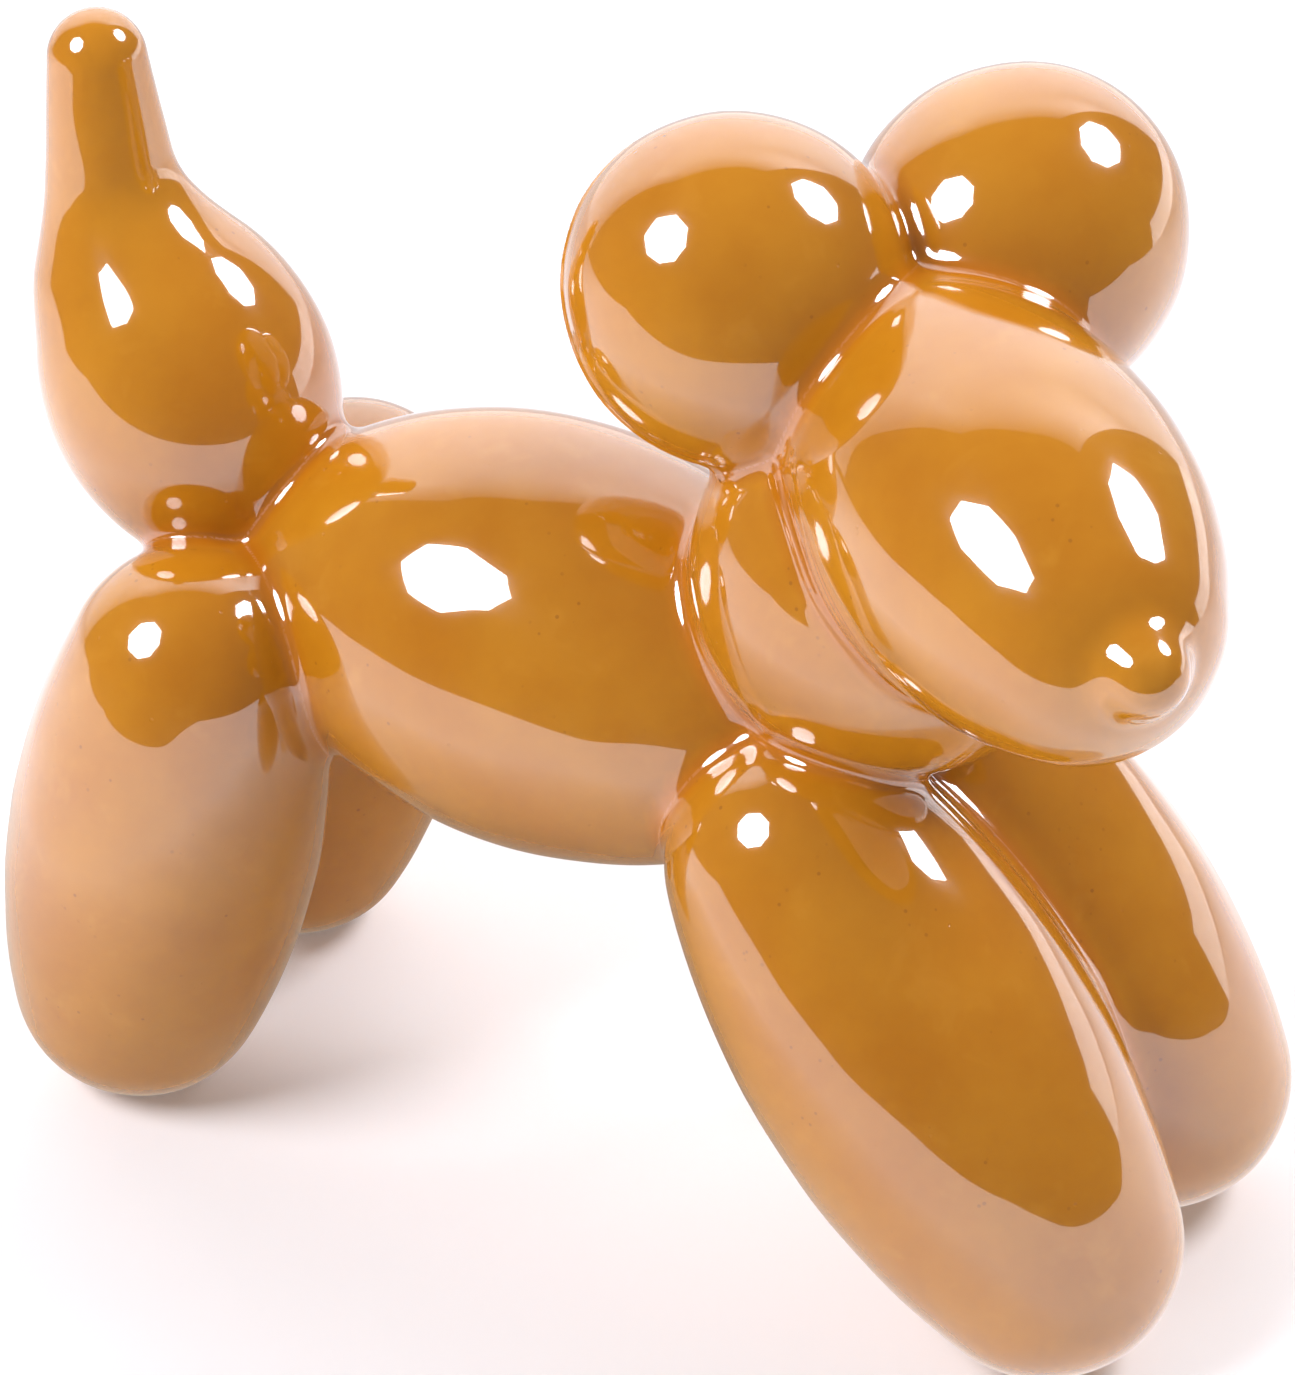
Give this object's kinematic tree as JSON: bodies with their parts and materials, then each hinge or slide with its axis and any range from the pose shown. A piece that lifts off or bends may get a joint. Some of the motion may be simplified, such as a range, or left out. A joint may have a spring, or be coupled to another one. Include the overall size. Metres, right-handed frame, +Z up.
{
  "type": "ceramic dog figurine",
  "caption": "Standing dog figurine in glazed ceramic, built from rounded balloon-like bubbles, head turned to its right, on felt foot pads.",
  "frame": {"origin": "middle of the footprint's box, on the surface that the figurine stands on", "axes": "+Z up; the dog's body points towards -Y, its tail towards +Y, and its own right side is -X"},
  "size_m": [0.1142, 0.2152, 0.1891],
  "materials": {
    "glaze": "high gloss ochre glaze",
    "joint_slip": "glazed slip, a little paler where the glaze runs thin",
    "felt": "pressed felt"
  },
  "bodies": {
    "root": {"body_shell": "glaze", "neck_shell": "glaze", "head_shell": "glaze", "right_ear_shell": "glaze", "left_ear_shell": "glaze", "rear_right_leg_shell": "glaze", "rear_left_leg_shell": "glaze", "front_right_leg_shell": "glaze", "front_left_leg_shell": "glaze", "tail_shell": "glaze", "neck_seam": "joint_slip", "head_seam": "joint_slip", "right_ear_seam": "joint_slip", "left_ear_seam": "joint_slip", "rear_right_leg_seam": "joint_slip", "rear_left_leg_seam": "joint_slip", "front_right_leg_seam": "joint_slip", "front_left_leg_seam": "joint_slip", "tail_seam": "joint_slip", "front_leg_web": "joint_slip", "ear_web": "joint_slip", "front_right_foot_pad": "felt", "front_left_foot_pad": "felt", "rear_right_foot_pad": "felt", "rear_left_foot_pad": "felt"}
  },
  "joints": []
}
